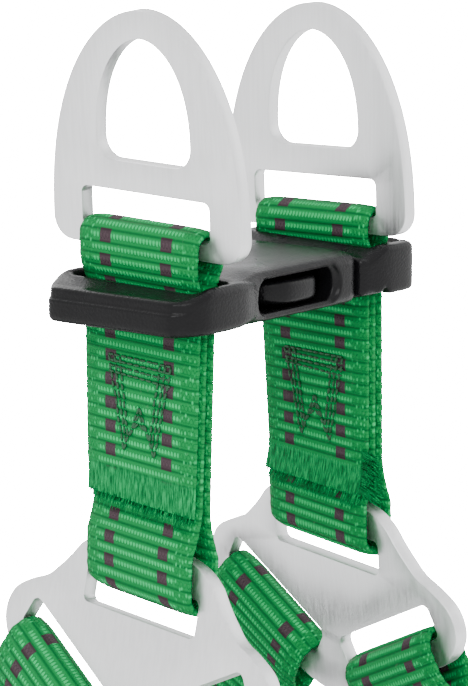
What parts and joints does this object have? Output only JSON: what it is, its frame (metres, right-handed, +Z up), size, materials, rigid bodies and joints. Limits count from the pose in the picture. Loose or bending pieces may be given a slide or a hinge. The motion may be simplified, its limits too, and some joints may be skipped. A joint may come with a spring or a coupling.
{
  "type": "tree climbing saddle",
  "caption": "Padded hip belt and leg loops hung from sewn risers with D-plates, three-slot plates and a side-release buckle at the front closure.",
  "frame": {"origin": "centre of the hip belt's opening at half its height, where the wearer's waist is", "axes": "+X to the wearer's left, -Y to the wearer's front, +Z up"},
  "size_m": [0.404, 0.4766, 0.5217],
  "materials": {
    "plate_alloy": "satin, fine vertical brushing",
    "fitting_alloy": "satin grey anodised",
    "webbing": "ribbed green polyester webbing with grey tracer dashes",
    "thread": "green bonded sewing thread",
    "pad_cloth": "black woven cloth over foam",
    "pad_binding": "black edge binding",
    "buckle_plastic": "black acetal, fine texture",
    "loop_rubber": "matt black",
    "elastic": "ribbed black elastic"
  },
  "bodies": {
    "root": {"belt_keeper_left": "buckle_plastic", "belt_keeper_right": "buckle_plastic", "belt_pad": "pad_cloth", "belt_strap": "webbing", "gear_loop_left_1": "loop_rubber", "gear_loop_left_2": "loop_rubber", "gear_loop_right_1": "loop_rubber", "gear_loop_right_2": "loop_rubber", "hip_adjuster_left": "fitting_alloy", "hip_adjuster_right": "fitting_alloy", "hip_strap_left": "webbing", "hip_strap_right": "webbing", "leg_buckle_left": "fitting_alloy", "leg_buckle_right": "fitting_alloy", "leg_pad_left": "pad_cloth", "leg_pad_right": "pad_cloth", "leg_riser_left": "webbing", "leg_riser_right": "webbing", "leg_strap_left": "webbing", "leg_strap_right": "webbing", "ring_keeper_left": "webbing", "ring_keeper_right": "webbing", "seat_elastic_left": "elastic", "seat_elastic_right": "elastic"},
    "riser_left": {"delta_plate_left": "plate_alloy", "riser_left": "webbing", "riser_lap_left": "webbing"},
    "d_left": {"d_plate_left": "plate_alloy"},
    "ring_left": {"side_ring_left": "fitting_alloy"},
    "hip_bar_left": {"hip_adjuster_bar_left": "fitting_alloy"},
    "leg_bar_left": {"leg_buckle_bar_left": "fitting_alloy"},
    "riser_right": {"delta_plate_right": "plate_alloy", "riser_right": "webbing", "riser_lap_right": "webbing"},
    "d_right": {"d_plate_right": "plate_alloy"},
    "ring_right": {"side_ring_right": "fitting_alloy"},
    "hip_bar_right": {"hip_adjuster_bar_right": "fitting_alloy"},
    "leg_bar_right": {"leg_buckle_bar_right": "fitting_alloy"},
    "socket": {"buckle_socket": "buckle_plastic"},
    "plug": {"buckle_plug": "buckle_plastic"},
    "prong_front": {"buckle_prong_front": "buckle_plastic"},
    "prong_rear": {"buckle_prong_rear": "buckle_plastic"}
  },
  "joints": [
    {"name": "riser_left_swing", "type": "hinge", "parent": "root", "child": "riser_left", "pos_m": [-0.0496, -0.1945, 0.1593], "axis": [0, -1, 0], "range_deg": [0, 7.4], "deforming": ["buckle_prong_front", "buckle_prong_rear", "hip_strap_left", "hip_strap_right", "leg_riser_left", "leg_riser_right"]},
    {"name": "riser_right_swing", "type": "hinge", "parent": "root", "child": "riser_right", "pos_m": [0.0541, -0.1945, 0.1593], "axis": [0, 1, 0], "range_deg": [0, 7.4]},
    {"name": "socket_level", "type": "hinge", "parent": "riser_left", "child": "socket", "pos_m": [-0.0396, -0.1924, 0.2795], "axis": [0, 1, 0], "range_deg": [0, 7.4]},
    {"name": "plug_level", "type": "hinge", "parent": "riser_right", "child": "plug", "pos_m": [0.0441, -0.1907, 0.2825], "axis": [0, -1, 0], "range_deg": [0, 7.4]},
    {"name": "d_left_swing", "type": "hinge", "parent": "riser_left", "child": "d_left", "pos_m": [-0.03767, -0.19043, 0.29585], "axis": [-0.0202, -0.9993, -0.0313], "range_deg": [-40, 40]},
    {"name": "d_right_swing", "type": "hinge", "parent": "riser_right", "child": "d_right", "pos_m": [0.04413, -0.18963, 0.29287], "axis": [-0.0545, -0.9983, 0.0192], "range_deg": [-40, 40]},
    {"name": "prong_front_squeeze", "type": "hinge", "parent": "plug", "child": "prong_front", "pos_m": [0.0274, -0.2027, 0.2795], "axis": [0, 0, -1], "range_deg": [0, 6.5], "stiffness_Nm_per_rad": 0.8},
    {"name": "prong_rear_squeeze", "type": "hinge", "parent": "plug", "child": "prong_rear", "pos_m": [0.0274, -0.1817, 0.2795], "axis": [0, 0, 1], "range_deg": [0, 6.5], "stiffness_Nm_per_rad": 0.8},
    {"name": "ring_left_swing", "type": "hinge", "parent": "root", "child": "ring_left", "pos_m": [-0.17685, 0, -0.004], "axis": [0, 1, 0], "range_deg": [0, 95]},
    {"name": "ring_right_swing", "type": "hinge", "parent": "root", "child": "ring_right", "pos_m": [0.17685, 0, -0.004], "axis": [0, -1, 0], "range_deg": [0, 95]},
    {"name": "hip_bar_left_slide", "type": "slide", "parent": "root", "child": "hip_bar_left", "axis": [0.7449, -0.6671, 0], "range_m": [-0.003, 0.003]},
    {"name": "leg_bar_left_slide", "type": "slide", "parent": "root", "child": "leg_bar_left", "axis": [0.866, -0.2868, 0.4096], "range_m": [-0.003, 0.003]},
    {"name": "hip_bar_right_slide", "type": "slide", "parent": "root", "child": "hip_bar_right", "axis": [0.7449, 0.6671, 0], "range_m": [-0.003, 0.003]},
    {"name": "leg_bar_right_slide", "type": "slide", "parent": "root", "child": "leg_bar_right", "axis": [-0.866, -0.2868, 0.4096], "range_m": [-0.003, 0.003]}
  ],
  "couplings": [
    {"joint": "riser_right_swing", "follows": "riser_left_swing", "ratio": 1},
    {"joint": "socket_level", "follows": "riser_left_swing", "ratio": 1},
    {"joint": "plug_level", "follows": "riser_left_swing", "ratio": 1}
  ]
}
